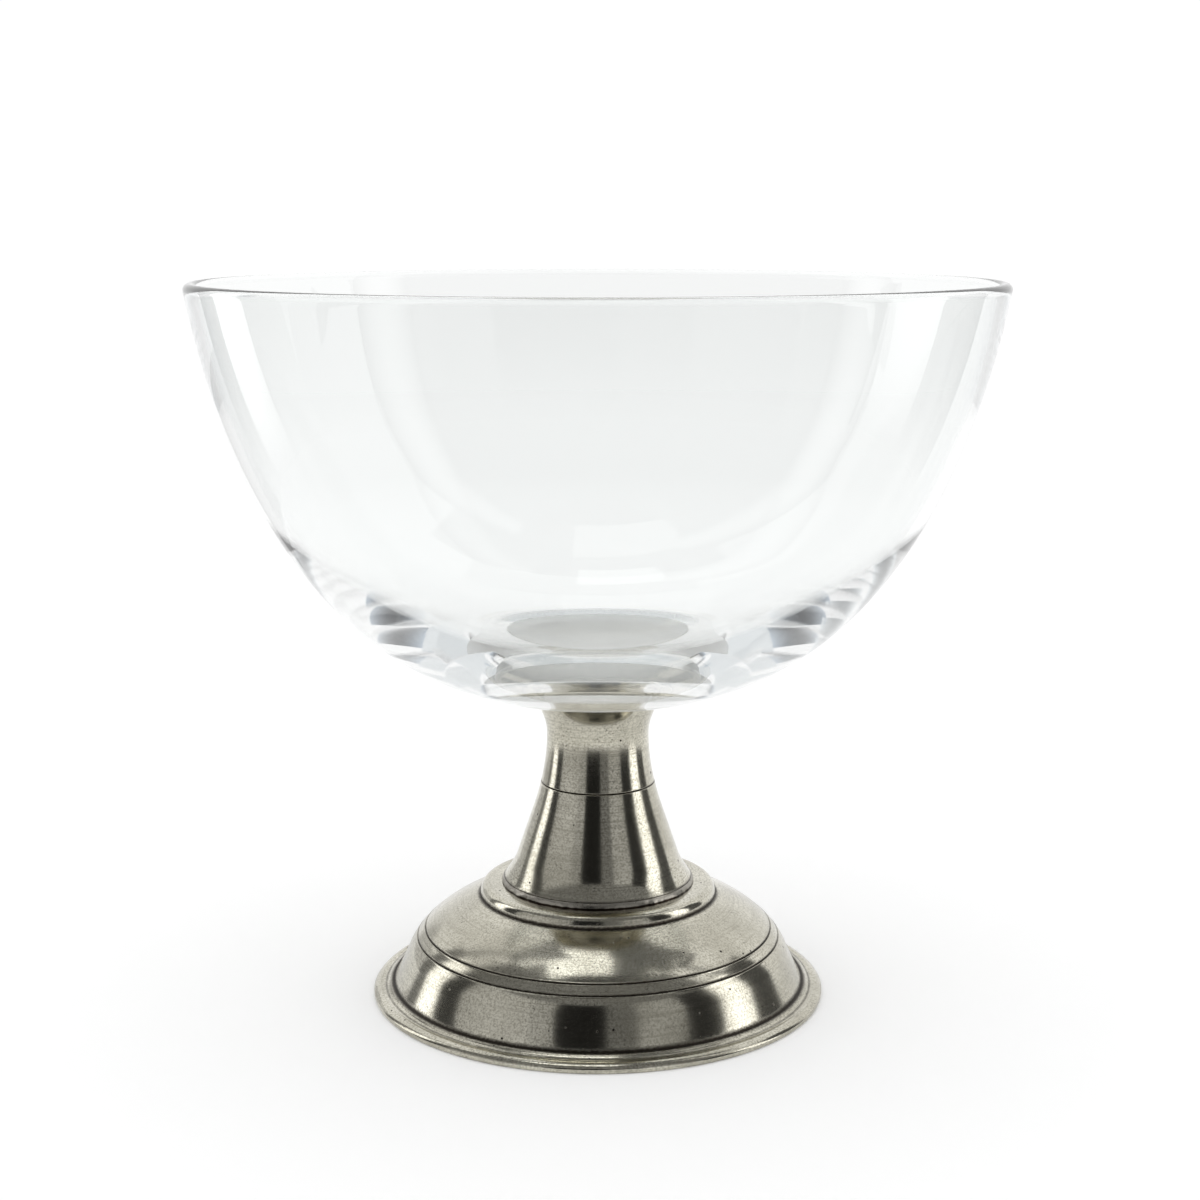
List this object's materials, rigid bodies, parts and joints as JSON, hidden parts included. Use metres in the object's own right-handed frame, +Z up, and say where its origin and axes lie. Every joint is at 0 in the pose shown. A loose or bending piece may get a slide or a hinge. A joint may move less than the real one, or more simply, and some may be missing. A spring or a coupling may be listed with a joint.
{
  "type": "footed bowl",
  "caption": "Round footed bowl: a deep clear glass bowl with a rounded lip, bonded on a flared pewter stem that stands on a wide domed foot with a rolled brim.",
  "frame": {"origin": "centre of the circle on which the foot stands, at the level of the surface that it stands on", "axes": "+Z up along the axis about which every piece is turned; X and Y are alike because the whole object is round"},
  "size_m": [0.2504, 0.2504, 0.2276],
  "materials": {
    "glass": "clear, colourless, fire-polished lead-free crystal",
    "pewter": "antique pewter, turned and hand-rubbed to a warm grey satin, with casting pits and dark scribed lines",
    "solder": "dark, slightly rough soft solder",
    "adhesive": "thin clear film of cured glass adhesive"
  },
  "bodies": {
    "root": {"foot": "pewter", "stem_solder": "solder", "stem": "pewter", "plate_solder": "solder", "seat_plate": "pewter", "bond_film": "adhesive", "glass_bowl": "glass"}
  },
  "joints": []
}
